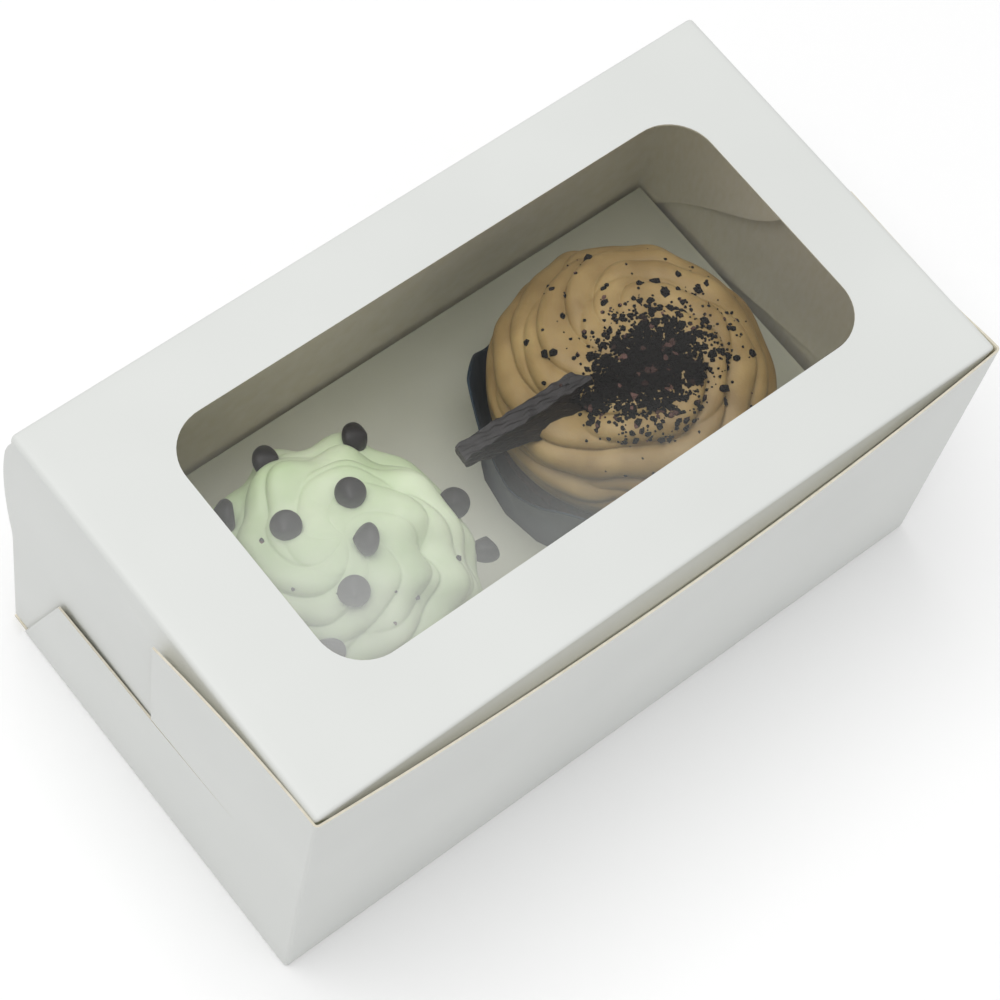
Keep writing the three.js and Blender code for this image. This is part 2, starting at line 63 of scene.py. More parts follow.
# Board and creases
BOARD = 0.45
SHEET = BOARD * 0.96
FOLD_GAP = 0.3
CREASE = 0.8
END_CREASE = 1.3
FOOT_INSET = 0.5
FOOT_HEIGHT = 0.7
WALL_HALF = LID_HALF + BOARD + FOLD_GAP
BACK_HALF = LID_HALF - BOARD - FOLD_GAP
FOOT_ROWS = np.concatenate([[0, 0.012, 0.03], np.linspace(0.06, 1, 13)])
MIRROR_X = np.array([-1, 1, 1])

# Front wall and its glued tabs
FRONT_LEAN = 0.4
FRONT_BOW = 2.9
TAB_WIDTH = 15.0
TAB_FOOT = 1.5
TAB_SHORT = 4.5

# Walls' top edges
WALL_DROP = 0.4
WALL_CLOSE = 0.25
WALL_TOP = HEIGHT - WALL_DROP
RIGHT_TOP_DROP = 1.5
RIGHT_TOP_RUN = 14.0

# End walls: the slit, the tongue below it and the sprung part above it
TONGUE_HEIGHT = 35.8
TONGUE_FOOT_SETBACK = 3.9
TONGUE_TOP_SETBACK = 16.6
TONGUE_SPRING = 0.7
SLIT_LENGTH = 26.0
SLIT_RISE = 2.4
SLIT_OPEN = 0.3
LEFT_CORNER_SPRING = 3.2
FREE_CORNER_SETBACK = 2.5
RIGHT_CORNER_SPRING = 0.3

# Back wall's corner flaps
CORNER_FLAP_REACH = 40.0
FLAP_LEAN = 3.0
FLAP_FOOT = 1.5
FLAP_SWEEP = 51.5
FLAP_TIP_RISE = 8.0
FLAP_TOP_GAP = 1.0
FLAP_TIP_DROP = 7.0

# Lid
SIDE_COUNT = 48
FILM_LAP = 6.0
WINDOW_CORNER = 9.5
CORNER_SHARE = 0.12
TUCK_HEIGHT = 17.0
TUCK_LEAN = np.radians(8.0)
TUCK_END_SETBACK = 4.0
TUCK_BELLY = 2.2
TUCK_SIDE_BELLY = 0.4
END_FLAP_BULGE = 2.3
END_FLAP_BELLY = 1.2
END_FLAP_BELLY_DROP = 20.0
END_FLAP_BELLY_RUN = 25.0
END_FLAP_NOSE = 25.0
END_FLAP_FLOOR = 1.0

# Paper cups
LINER_FOOT_Z = 0.75
LINER_RIM_Z = 36.75
LINER_FOOT_RADIUS = 24.0
LINER_RIM_RADIUS = 27.5
LINER_SLACK = 1.8
PAPER = 0.4
PETAL_COUNT = 5
PETAL_RISE = 9.5
PETAL_DIP = 3.0
PETAL_FLARE = 2.4
PETAL_TURN = np.radians(148.0)
LOW_SIDE = np.radians(40.0)
LOWERED = 0.75

# Icings
ICING_FOOT_Z = 37.05
ICING_HEIGHT = 26.0
ICING_SHOULDER = 0.25
ICING_ROUNDNESS = 0.72
ICING_FOOT_INSET = 4.0
SWIRL_TURNS = 3
SWIRL_DEPTH = 1.5
ARMS = 7
ARM_TURNS = 5.0
MINT_RADIUS = 26.0
MOCHA_RADIUS = 28.0

# Each icing's piping: its ridges' height, its folds' height, the seed of both, and how deep it is
# pressed in beside the bar
MINT_PIPING = (1.7, 1.2, 2, 0.0)
MOCHA_PIPING = (2.3, 0.4, 5, 3.6)

# Chocolate bar and drops
BAR_LENGTH = 29.0
BAR_WIDTH = 3.4
BAR_END_HEIGHT = 3.6
BAR_ROOT_HEIGHT = 9.0
BAR_TURN = np.radians(4.0)
BAR_TILT = np.radians(9.0)
BAR_ROOT_X = -13.0
BAR_ROOT_Y = 1.2
BAR_SPREAD = 0.6
CHIP_RADIUS = 3.1
CHIP_HEIGHT = 6.2
CHIP_LIFT = 0.65
CHIP_SINK = 0.3

# Each drop: its angle round the mint icing in degrees, its share of the way up, how far it lies
# over from upright, and the way that its tip then points, in degrees
CHIPS = [
    (90, 0.4, 70, 300),
    (46, 0.31, 60, 284),
    (45, 0.88, 50, 231),
    (136, 0.82, 50, 238),
    (302, 0.955, 75, 150),
    (352, 0.3, 55, 190),
    (241, 0.8, 35, 231),
    (226, 0.5, 40, 60),
    (334, 0.12, 70, 55),
    (127, 0.42, 70, 150),
]

# Splinters on the mint icing: X and Y from its middle, and radius
SPECKS = [
    (-12.0, 8.4, 0.7),
    (-7.6, -8.3, 0.45),
    (-1.9, -17.6, 0.45),
    (4.5, -16.5, 0.55),
    (1.3, -13.5, 0.35),
    (-13.3, -2.5, 0.4),
    (16.0, -13.5, 0.75),
    (22.0, -7.6, 0.45),
]


def linear(colour):
    """An sRGB hex colour as linear red, green, blue and alpha."""
    parts = np.array([int(colour[i:i + 2], 16) for i in (1, 3, 5)]) / 255
    low = parts / 12.92
    high = ((parts + 0.055) / 1.055) ** 2.4
    return (*np.where(parts <= 0.04045, low, high), 1.0)


def node(tree, kind, links=None, **settings):
    """Add a node, set its settings and fill its inputs with values or with other nodes' sockets."""
    made = tree.nodes.new(kind)
    for name, value in settings.items():
        setattr(made, name, value)
    for key, value in (links or {}).items():
        if isinstance(value, bpy.types.NodeSocket):
            tree.links.new(value, made.inputs[key])
        else:
            made.inputs[key].default_value = value
    return made


def material(name):
    """An empty material with a Principled shader, as its tree and its shader."""
    made = bpy.data.materials.new(name)
    made.use_nodes = True
    return made, made.node_tree, made.node_tree.nodes["Principled BSDF"]


def patches(tree, dark, light, size_mm, detail=3.0, stretch=(1, 1, 1)):
    """A colour that drifts between two tones in patches of a real size."""
    where = node(tree, "ShaderNodeTexCoord").outputs["Object"]
    turned = node(tree, "ShaderNodeMapping", {"Vector": where, "Scale": stretch}).outputs[0]
    grain = {"Vector": turned, "Scale": 1 / (size_mm * MM), "Detail": detail}
    noise = node(tree, "ShaderNodeTexNoise", grain)
    wide = node(tree, "ShaderNodeMapRange", {0: noise.outputs[0], 1: 0.3, 2: 0.7})
    tones = {0: wide.outputs[0], 6: linear(dark), 7: linear(light)}
    return node(tree, "ShaderNodeMix", tones, data_type="RGBA").outputs[2]


def relief(tree, size_mm, depth_mm, strength=1.0, detail=4.0, stretch=(1, 1, 1)):
    """A bumpy normal with lumps of a real size and depth."""
    where = node(tree, "ShaderNodeTexCoord").outputs["Object"]
    turned = node(tree, "ShaderNodeMapping", {"Vector": where, "Scale": stretch}).outputs[0]
    grain = {"Vector": turned, "Scale": 1 / (size_mm * MM), "Detail": detail}
    noise = node(tree, "ShaderNodeTexNoise", grain)
    bump = {"Height": noise.outputs[0], "Distance": depth_mm * MM, "Strength": strength}
    return node(tree, "ShaderNodeBump", bump).outputs[0]


def coated_board():
    """Clay-coated folding board, calendered: nearly white and smooth, with a dull sheen."""
    made, tree, shader = material("clay_coated_board")
    tree.links.new(patches(tree, "#d3d5d2", "#d8dad7", 45, 2), shader.inputs["Base Color"])
    tree.links.new(relief(tree, 1.6, 0.012), shader.inputs["Normal"])
    shader.inputs["Roughness"].default_value = 0.48
    shader.inputs["IOR"].default_value = 1.5
    return made


def uncoated_board():
    """The board's uncoated back: a matt, slightly warm grey white with short fibres."""
    made, tree, shader = material("uncoated_board")
    tree.links.new(patches(tree, "#eee8d3", "#f4efdf", 3, 5, (1, 3, 1)), shader.inputs["Base Color"])
    tree.links.new(relief(tree, 0.9, 0.03), shader.inputs["Normal"])
    shader.inputs["Roughness"].default_value = 0.85
    return made


def cut_edge():
    """The board's die-cut edge: cream pulp between the faces, drawn a little coarse."""
    made, tree, shader = material("die_cut_pulp_edge")
    tree.links.new(patches(tree, "#cbc5b3", "#d8d2c2", 1.5, 4), shader.inputs["Base Color"])
    tree.links.new(relief(tree, 0.5, 0.05), shader.inputs["Normal"])
    shader.inputs["Roughness"].default_value = 0.9
    return made


def tray_board():
    """The insert's thin grey-white board, matt on both faces."""
    made, tree, shader = material("insert_card")
    tree.links.new(patches(tree, "#d9dbca", "#e1e3d4", 20, 4), shader.inputs["Base Color"])
    tree.links.new(relief(tree, 1.2, 0.025), shader.inputs["Normal"])
    shader.inputs["Roughness"].default_value = 0.8
    return made


def clear_film():
    """Cast polyester film: clear and glossy, with slight waves. Its alpha and whitish base colour are a
    painted
    reflection glare: a faint whitish veil in a smooth step across the film that a slow noise makes a little
    uneven."""
    made, tree, shader = material("cast_polyester_film")
    where = node(tree, "ShaderNodeTexCoord").outputs["Object"]
    apart = node(tree, "ShaderNodeSeparateXYZ", {0: where})
    # Painted reflection glare: the alpha rises from nearly clear at the back right to about a fifth at the
    # front left.
    along = node(tree, "ShaderNodeMath", {0: apart.outputs[0], 1: 0.55}, operation="MULTIPLY")
    across = node(tree, "ShaderNodeMath", {0: along.outputs[0], 1: apart.outputs[1]}, operation="ADD")
    step = {0: across.outputs[0], 1: 0.0, 2: -0.055, 3: 0.012, 4: 0.2}
    side = node(tree, "ShaderNodeMapRange", step, interpolation_type="SMOOTHSTEP")
    drift = node(tree, "ShaderNodeTexNoise", {"Vector": where, "Scale": 18.0, "Detail": 1.0})
    soft = node(tree, "ShaderNodeMapRange", {0: drift.outputs[0], 1: 0.3, 2: 0.7, 3: 0.8, 4: 1.2})
    painted_glare = node(tree, "ShaderNodeMath", {0: side.outputs[0], 1: soft.outputs[0]}, operation="MULTIPLY")
    tree.links.new(painted_glare.outputs[0], shader.inputs["Alpha"])
    # The whitish base colour is the colour of the painted glare veil.
    tree.links.new(patches(tree, "#e6e9e6", "#eef0ee", 60, 1), shader.inputs["Base Color"])
    tree.links.new(relief(tree, 30, 0.25, 1.0, 1.0), shader.inputs["Normal"])
    shader.inputs["Roughness"].default_value = 0.08
    shader.inputs["IOR"].default_value = 1.6
    return made


def mint_buttercream():
    """Whipped buttercream, piped: pale green, soft and a little translucent, with a satin skin."""
    made, tree, shader = material("mint_buttercream")
    tree.links.new(patches(tree, "#bed1a6", "#d8e4c4", 14, 3), shader.inputs["Base Color"])
    tree.links.new(relief(tree, 1.1, 0.06), shader.inputs["Normal"])
    shader.inputs["Roughness"].default_value = 0.5
    shader.inputs["Subsurface Weight"].default_value = 0.25
    shader.inputs["Subsurface Radius"].default_value = (0.004, 0.005, 0.003)
    shader.inputs["Subsurface Scale"].default_value = 0.5
    return made


def mocha_buttercream():
    """Whipped coffee buttercream, piped: warm tan, drier than the mint, with fine air pits."""
    made, tree, shader = material("mocha_buttercream")
    tree.links.new(patches(tree, "#8a7042", "#ac925f", 9, 4), shader.inputs["Base Color"])
    tree.links.new(relief(tree, 0.9, 0.08), shader.inputs["Normal"])
    shader.inputs["Roughness"].default_value = 0.55
    shader.inputs["Subsurface Weight"].default_value = 0.2
    shader.inputs["Subsurface Radius"].default_value = (0.004, 0.002, 0.001)
    shader.inputs["Subsurface Scale"].default_value = 0.4
    return made


def dark_chocolate():
    """Moulded dark chocolate: near black, satin, with a faint bloom in patches."""
    made, tree, shader = material("moulded_dark_chocolate")
    tree.links.new(patches(tree, "#15100f", "#241d1d", 3, 3), shader.inputs["Base Color"])
    tree.links.new(relief(tree, 0.7, 0.03), shader.inputs["Normal"])
    shader.inputs["Roughness"].default_value = 0.42
    shader.inputs["Specular IOR Level"].default_value = 0.3
    return made


def biscuit_crumb():
    """Crushed cocoa biscuit: dry, black brown crumbs with a few paler, pinkish bits."""
    made, tree, shader = material("crushed_cocoa_biscuit")
    where = node(tree, "ShaderNodeTexCoord").outputs["Object"]
    cells = node(tree, "ShaderNodeTexVoronoi", {"Vector": where, "Scale": 1 / (1.1 * MM)})
    level = node(tree, "ShaderNodeSeparateColor", {0: cells.outputs["Color"]})
    pale = node(tree, "ShaderNodeMapRange", {0: level.outputs[0], 1: 0.93, 2: 1.0})
    tones = {0: pale.outputs[0], 6: linear("#0f0b0a"), 7: linear("#6f524b")}
    mixed = node(tree, "ShaderNodeMix", tones, data_type="RGBA")
    tree.links.new(mixed.outputs[2], shader.inputs["Base Color"])
    tree.links.new(relief(tree, 0.8, 0.05), shader.inputs["Normal"])
    shader.inputs["Roughness"].default_value = 0.9
    shader.inputs["Specular IOR Level"].default_value = 0.2
    return made


def black_paper():
    """Greaseproof paper dyed black, folded into a cup: matt blue black with soft creases."""
    made, tree, shader = material("black_greaseproof_paper")
    tree.links.new(patches(tree, "#0d1c2a", "#1b3040", 12, 3), shader.inputs["Base Color"])
    tree.links.new(relief(tree, 8, 0.12, 1.0, 2), shader.inputs["Normal"])
    shader.inputs["Roughness"].default_value = 0.6
    return made


def white_paper():
    """Fluted greaseproof baking paper, off white and slightly waxy."""
    made, tree, shader = material("white_greaseproof_paper")
    tree.links.new(patches(tree, "#e2dccb", "#efebdf", 8, 3), shader.inputs["Base Color"])
    tree.links.new(relief(tree, 1.2, 0.03), shader.inputs["Normal"])
    shader.inputs["Roughness"].default_value = 0.7
    return made


def sponge_crumb(name, dark, light):
    """Baked sponge: an open crumb with pores a millimetre or two wide."""
    made, tree, shader = material(name)
    tree.links.new(patches(tree, dark, light, 2.5, 6), shader.inputs["Base Color"])
    tree.links.new(relief(tree, 1.5, 0.4), shader.inputs["Normal"])
    shader.inputs["Roughness"].default_value = 0.95
    return made


def studio_floor():
    """Matt white paper sweep, with a barely visible mottle."""
    made, tree, shader = material("white_paper_sweep")
    tree.links.new(patches(tree, "#f8f8f8", "#fafafa", 200, 1), shader.inputs["Base Color"])
    shader.inputs["Roughness"].default_value = 0.95
    shader.inputs["Specular IOR Level"].default_value = 0.1
    return made


COATED = coated_board()
UNCOATED = uncoated_board()
CUT_EDGE = cut_edge()
CHOCOLATE = dark_chocolate()
CRUMB = biscuit_crumb()


def quads(rows, columns, closed):
    """Corner indices of the faces of a grid of points, row by row; a closed grid joins its last column
    to its first."""
    i, j = np.meshgrid(np.arange(rows - 1), np.arange(columns if closed else columns - 1), indexing="ij")
    right = (j + 1) % columns
    low, high = i * columns, (i + 1) * columns
    return np.stack([low + j, low + right, high + right, high + j], -1).reshape(-1, 4)


def piece(name, grids, materials, inside=(0.0, 0.0, 0.0), smooth=True):
    """A mesh from grids of points in millimetres. Each grid is (points, closed, slot number), and all
    its faces are turned to point away from the inside point."""
    points, faces, slots = [], [], []
    start = 0
    for grid, closed, number in grids:
        rows, columns = grid.shape[:2]
        flat = grid.reshape(-1, 3)
        own = quads(rows, columns, closed)
        corner = flat[own]
        normal = np.cross(corner[:, 2] - corner[:, 0], corner[:, 3] - corner[:, 1])
        outward = np.einsum("ij,ij->i", normal, corner.mean(1) - np.array(inside))
        if outward.sum() < 0:
            own = own[:, ::-1]
        points.append(flat)
        faces.append(own + start)
        slots.append(np.full(len(own), number))
        start += len(flat)
    mesh = bpy.data.meshes.new(name)
    mesh.from_pydata((np.concatenate(points) * MM).tolist(), [], np.concatenate(faces).tolist())
    mesh.polygons.foreach_set("material_index", np.concatenate(slots).astype(np.int32))
    work = bmesh.new()
    work.from_mesh(mesh)
    bmesh.ops.remove_doubles(work, verts=work.verts, dist=2e-6)
    bmesh.ops.dissolve_degenerate(work, edges=work.edges, dist=1e-7)
    work.to_mesh(mesh)
    work.free()
    mesh.polygons.foreach_set("use_smooth", np.full(len(mesh.polygons), smooth))
    made = bpy.data.objects.new(name, mesh)
    bpy.context.scene.collection.objects.link(made)
    for finish in materials:
        mesh.materials.append(finish)
    return made


def thicken(made, thickness):
    """Give a sheet its thickness behind its outer face: coated face, uncoated back and cream cut edge."""
    solid = made.modifiers.new("board", "SOLIDIFY")
    solid.thickness = thickness * MM
    solid.offset = -1
    solid.use_even_offset = True
    solid.material_offset = 1
    solid.material_offset_rim = 2
    sharp = made.modifiers.new("sharp_edges", "EDGE_SPLIT")
    sharp.split_angle = np.radians(50)


def front_face_y(x, z):
    """The front wall's outer face: it leans out with height, and bows out as a parabola along X."""
    rise = z / HEIGHT
    middle = 1 - np.minimum(1, np.abs(x) / WALL_HALF) ** 2
    return -BACK_Y - FRONT_LEAN * rise - FRONT_BOW * middle * rise ** 1.5


def foot_round(z):
    """How far a wall's rounded foot is set in: a parabola over its lowest few tenths of a millimetre."""
    return FOOT_INSET * np.clip(1 - z / FOOT_HEIGHT, 0, 1) ** 2


def wall_top(y, side):
    """The height of a wall's top edge: on the right it sinks, along a smooth step, behind the lid's
    side from the front corner on."""
    step = np.clip((y + BACK_Y) / RIGHT_TOP_RUN, 0, 1)
    return WALL_TOP - (RIGHT_TOP_DROP if side > 0 else 0) * step * step * (3 - 2 * step)


def slit_height(y):
    """The height of the cut across an end wall: level behind the middle, rising towards the front."""
    return TONGUE_HEIGHT + SLIT_RISE * np.clip(-y / SLIT_LENGTH, 0, 1)


def end_point(y, z, side):
    """A point of an end wall's outer face. The tongue springs out linearly towards its rear and as a
    square towards its top, and the upper part as a power of the way forward, towards its free corner."""
    forward = np.clip(1 + y / BACK_Y, 0, 1)
    up = np.clip((z - slit_height(y)) / (HEIGHT - TONGUE_HEIGHT), 0, 1)
    spring = LEFT_CORNER_SPRING if side < 0 else RIGHT_CORNER_SPRING
    upper = spring * forward ** 1.6 * up
    behind = np.clip(y / (BACK_Y - TONGUE_TOP_SETBACK), 0, 1)
    lower = TONGUE_SPRING * behind * np.clip(z / TONGUE_HEIGHT, 0, 1) ** 2
    lean = FRONT_LEAN * z / HEIGHT * np.clip(-y / BACK_Y, 0, 1)
    foot = foot_round(z)
    close = WALL_CLOSE * z / HEIGHT
    return np.stack([side * (WALL_HALF + upper + lower - foot - close), y - lean, z], -1)


def end_grids(side):
    """The left or right end wall behind the slit's end: the tongue below the cut and the sprung upper
    part above it, each a grid of rows in height and columns in Y. The tongue's rear edge slants forward
    linearly with height, and so does the upper part's, up to its free corner."""
    share = FOOT_ROWS[:, None]
    ahead = np.linspace(-SLIT_LENGTH, 0, 13)[None, :]
    opening = SLIT_OPEN * np.clip((ahead + SLIT_LENGTH) / SLIT_LENGTH, 0, 1)
    z = share * (slit_height(ahead) - opening * (share > 0.99))
    front_part = end_point(np.broadcast_to(ahead, z.shape), z, side)
    reach = np.linspace(0, 1, 15)[None, :]
    rear = BACK_Y - TONGUE_FOOT_SETBACK - (TONGUE_TOP_SETBACK - TONGUE_FOOT_SETBACK) * share
    y = reach * rear
    z = share * (TONGUE_HEIGHT - SLIT_OPEN * (share > 0.99)) + 0 * reach
    rear_part = end_point(y, z, side)
    up = np.linspace(0, 1, 15)[:, None]
    z = slit_height(ahead) + opening + up * (wall_top(ahead, side) - slit_height(ahead) - opening)
    upper = end_point(ahead - FREE_CORNER_SETBACK * up * (1 + ahead / SLIT_LENGTH), z, side)
    return [(front_part, False, 0), (rear_part, False, 0), (upper, False, 0)]


def wrap_grid():
    """The band that runs from one slit's end round both front corners to the other: rows in height,
    columns along the band, with the corners rounded to the crease's radius."""
    cut = slit_height(-SLIT_LENGTH)
    z = np.concatenate([FOOT_ROWS * cut, cut + np.linspace(0, 1, 15)[1:] * (WALL_TOP - cut)])[:, None]
    side_y = np.linspace(-SLIT_LENGTH, -BACK_Y + CREASE, 9)
    turn = np.linspace(0, np.pi / 2, 6)[1:-1]
    arc_x = -WALL_HALF + CREASE * (1 - np.cos(turn))
    arc_y = -BACK_Y + CREASE * (1 - np.sin(turn))
    front_x = np.linspace(-WALL_HALF + CREASE, WALL_HALF - CREASE, 61)
    rise = z / HEIGHT
    foot = foot_round(z)
    left = end_point(side_y[None, :] + 0 * z, z + 0 * side_y[None, :], -1)
    corner_x = arc_x + foot + WALL_CLOSE * rise
    corner = np.stack([corner_x, arc_y - FRONT_LEAN * rise + foot, z + 0 * turn], -1)
    narrow = 1 - WALL_CLOSE * rise / (WALL_HALF - CREASE)
    front = np.stack([front_x * narrow, front_face_y(front_x, z) + foot, z + 0 * front_x], -1)
    back_y = side_y[None, ::-1]
    sunk = z + np.clip((z - cut) / (WALL_TOP - cut), 0, 1) * (wall_top(back_y, 1) - WALL_TOP)
    right = end_point(back_y + 0 * z, sunk, 1)
    band = [left, corner, front, corner[:, ::-1] * MIRROR_X, right]
    return np.concatenate(band, axis=1)


def tab_grid(side):
    """A glued corner tab: a strip of the front wall's curve, one board behind its outer face."""
    x = side * np.linspace(WALL_HALF - BOARD, WALL_HALF - TAB_WIDTH, 8)[None, :]
    z = np.linspace(TAB_FOOT, HEIGHT - TAB_SHORT, 12)[:, None]
    return np.stack([x + 0 * z, front_face_y(x, z) + BOARD * 1.05, z + 0 * x], -1)


def back_grid():
    """The back wall with its two corner flaps as one band: columns run from one flap's front edge round
    the rear corners to the other, and each column runs from the flap's lower edge to its top. Both edges
    are sums of powers of the share of the way to the flap's tip."""
    top = HEIGHT - BOARD - FOLD_GAP
    reach = np.linspace(0, 1, 15)
    flap_y = BACK_Y - CREASE - (CORNER_FLAP_REACH - CREASE) * reach[::-1]
    ahead = (BACK_Y - flap_y) / CORNER_FLAP_REACH
    low = FLAP_FOOT + FLAP_SWEEP * ahead ** 0.62 + FLAP_TIP_RISE * ahead ** 8
    high = top - FLAP_TOP_GAP - FLAP_TIP_DROP * ahead ** 6
    turn = np.linspace(0, np.pi / 2, 5)[1:-1]
    back_x = np.linspace(-BACK_HALF + CREASE, BACK_HALF - CREASE, 41)
    lean = FLAP_LEAN * ahead ** 1.5
    x = np.concatenate([lean - BACK_HALF, -BACK_HALF + CREASE * (1 - np.cos(turn)), back_x])
    y = np.concatenate([flap_y, BACK_Y - CREASE * (1 - np.sin(turn)), 0 * back_x + BACK_Y])
    low = np.concatenate([low, [1.2, 0.9, 0.6], 0 * back_x + 0.1])
    high = np.concatenate([high, [top - 0.8, top - 0.5, top - 0.2], 0 * back_x + top])
    share = np.linspace(0, 1, 24)[:, None]
    z = low + (high - low) * share
    half = np.stack([x + 0 * z, y + 0 * z, z], -1)
    flap_side = half[:, : len(x) - len(back_x)]
    return np.concatenate([half, flap_side[:, ::-1] * MIRROR_X], axis=1)


def base_grid():
    """The flat base, edge to edge inside the walls' rounded feet."""
    x = np.linspace(-WALL_HALF + FOOT_INSET, WALL_HALF - FOOT_INSET, 12)[None, :]
    y = np.linspace(-BACK_Y + FOOT_INSET, BACK_Y, 8)[:, None]
    return np.stack([x + 0 * y, y + 0 * x, 0 * (x + y)], -1)


def carton():
    """The carton's body as one sheet of board: base, walls, corner flaps and glued tabs."""
    grids = [(wrap_grid(), False, 0), (back_grid(), False, 0), (base_grid(), False, 0)]
    grids += [(tab_grid(-1), False, 0), (tab_grid(1), False, 0)]
    grids += end_grids(-1) + end_grids(1)
    made = piece("carton_sheet", grids, [COATED, UNCOATED, CUT_EDGE], (0, 0, HEIGHT / 2))
    thicken(made, SHEET)
    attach(made, "carton")
    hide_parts("carton_body")


def rectangle_path(low_x, high_x, low_y, high_y, radius):
    """Points round a rectangle with round corners, the same number on each side. A side is an eighth of a
    circle, a straight line and another eighth, so that points on two such paths pair up."""
    sides = []
    corners = [(low_x, low_y), (high_x, low_y), (high_x, high_y), (low_x, high_y)]
    share = np.linspace(0, 1, SIDE_COUNT + 1)[:-1]
    edge = CORNER_SHARE if radius else 0.0
    level = np.clip((share - edge) / (1 - 2 * edge), 0, 1)
    first = np.clip(1 - share / max(edge, 1e-9), 0, 1) * np.pi / 4
    last = np.clip(1 - (1 - share) / max(edge, 1e-9), 0, 1) * np.pi / 4
    bend = first + last
    sign = np.where(first > 0, -1.0, 1.0)[:, None]
    for k in range(4):
        start = np.array(corners[k])
        end = np.array(corners[(k + 1) % 4])
        length = np.linalg.norm(end - start)
        way = (end - start) / length
        inward = np.array([-way[1], way[0]])
        straight = start + way * (radius + (length - 2 * radius) * level)[:, None]
        shift = sign * way * (radius * np.sin(bend))[:, None]
        drop = inward * (radius * (1 - np.cos(bend)))[:, None]
        sides.append(straight + shift + drop)
    return np.concatenate(sides)


def lid_panel():
    """The lid's flat panel: rings that blend from the window's round-cornered edge to the outer edge."""
    window = rectangle_path(
        film_low[0] + FILM_LAP,
        film_high[0] - FILM_LAP,
        film_low[1] + FILM_LAP,
        film_high[1] - FILM_LAP,
        WINDOW_CORNER,
    )
    half = LID_HALF - END_CREASE
    outer = rectangle_path(-half, half, LID_FRONT_Y + CREASE, BACK_Y - CREASE, 0)
    share = np.linspace(0, 1, 9)[:, None, None]
    flat = window + (outer - window) * share
    return np.concatenate([flat, np.full((*flat.shape[:2], 1), HEIGHT)], axis=-1)


def crease_turn(angle_end, radius=CREASE):
    """Offsets past the panel's edge and below its face while a sheet turns down through an angle."""
    angle = np.linspace(0, angle_end, 6)
    return radius * np.sin(angle), radius * (1 - np.cos(angle))


def lid_front():
    """The front crease and the tuck flap below it, which leans back and is rounded at its ends. It bellies
    out towards the front wall as a sine down its height and a parabola along X."""
    x = np.linspace(-LID_HALF + END_CREASE, LID_HALF - END_CREASE, SIDE_COUNT + 1)
    past, below = crease_turn(np.pi / 2 + TUCK_LEAN)
    length = np.linspace(0, 1, 9)[1:]
    ahead = np.abs(x) / x.max()
    drop = (TUCK_HEIGHT - CREASE) * (1 - 0.5 * np.clip((ahead - 0.86) / 0.14, 0, 1) ** 3)
    run = length[:, None] * drop[None, :]
    crease_y = np.broadcast_to((LID_FRONT_Y + CREASE - past)[:, None], (len(past), len(x)))
    crease_z = np.broadcast_to((HEIGHT - below)[:, None], (len(past), len(x)))
    swell = TUCK_SIDE_BELLY + TUCK_BELLY * (1 - ahead ** 2)
    belly = swell * np.sin(np.pi * length ** 0.5)[:, None]
    y = np.concatenate([crease_y, crease_y[-1] + run * np.sin(TUCK_LEAN) - belly])
    z = np.concatenate([crease_z, crease_z[-1] - run * np.cos(TUCK_LEAN)])
    below_crease = np.clip(np.arange(len(y)) - len(past) + 1, 0, 2)[:, None] / 2
    narrow = 1 - TUCK_END_SETBACK / LID_HALF * below_crease
    return np.stack([x * narrow, y, z], -1)


def flap_edge(y):
    """The height of an end flap's lower edge: three quadratic curves, end to end, from the front of the
    lid down to the carton's floor at the back."""
    front = LID_FRONT_Y + FOLD_GAP
    depth = BACK_Y - front
    nose = END_FLAP_NOSE
    curves = [
        [(0, HEIGHT), (3, HEIGHT + 0.7 * (nose - HEIGHT)), (20, nose)],
        [(20, nose), (0.5 * depth, 0.9 * nose), (0.72 * depth, 0.62 * nose)],
        [(0.72 * depth, 0.62 * nose), (0.85 * depth, END_FLAP_FLOOR), (depth - 2, END_FLAP_FLOOR)],
    ]
    t = np.linspace(0, 1, 30)[:, None]
    traced = [(1 - t) ** 2 * np.array(a) + 2 * t * (1 - t) * np.array(b) + t ** 2 * np.array(c)
              for a, b, c in curves]
    traced = np.concatenate(traced)
    return np.interp(y - front, traced[:, 0], traced[:, 1])


def lid_end(side):
    """An end crease and the end flap below it. The flap's lower edge sweeps down from the front, and its
    rear edge bulges out behind the back wall as a power of a sine up its height. The left flap bellies
    out as a sine down its face, under the wall's free corner."""
    y = np.linspace(LID_FRONT_Y + CREASE, BACK_Y - CREASE, SIDE_COUNT + 1)
    back = (y - y[0]) / (y[-1] - y[0])
    past, below = crease_turn(np.pi / 2, END_CREASE)
    low = np.minimum(flap_edge(y), HEIGHT - 4)
    share = np.linspace(0, 1, 25)[1:]
    top = HEIGHT - END_CREASE
    z_down = top - share[:, None] * (top - low)[None, :]
    height = np.clip((z_down - 38) / (HEIGHT - 40), 0, 1)
    bulge = END_FLAP_BULGE * np.sin(np.pi * height ** 1.1) ** 0.7
    bulge = bulge + CREASE * np.clip((HEIGHT - z_down) / 8, 0, 1)
    y_down = y[None, :] + bulge * back[None, :] ** 6
    crease_y = np.broadcast_to(y, (len(past), len(y)))
    crease_z = np.broadcast_to((HEIGHT - below)[:, None], crease_y.shape)
    crease_x = np.broadcast_to((LID_HALF - END_CREASE + past)[:, None], crease_y.shape)
    behind = np.clip(y / END_FLAP_BELLY_RUN, 0, 1)
    swell = np.clip(1 + y / BACK_Y, 0, 1) ** 1.6 * (1 - behind * behind * (3 - 2 * behind))
    swell = swell * (END_FLAP_BELLY if side < 0 else 0)
    out = swell * np.sin(np.pi * np.clip((top - z_down) / END_FLAP_BELLY_DROP, 0, 1) ** 0.5)
    x = np.concatenate([crease_x, LID_HALF + out])
    whole_y = np.concatenate([crease_y, y_down])
    whole_z = np.concatenate([crease_z, z_down])
    return np.stack([side * x, whole_y, whole_z], -1)


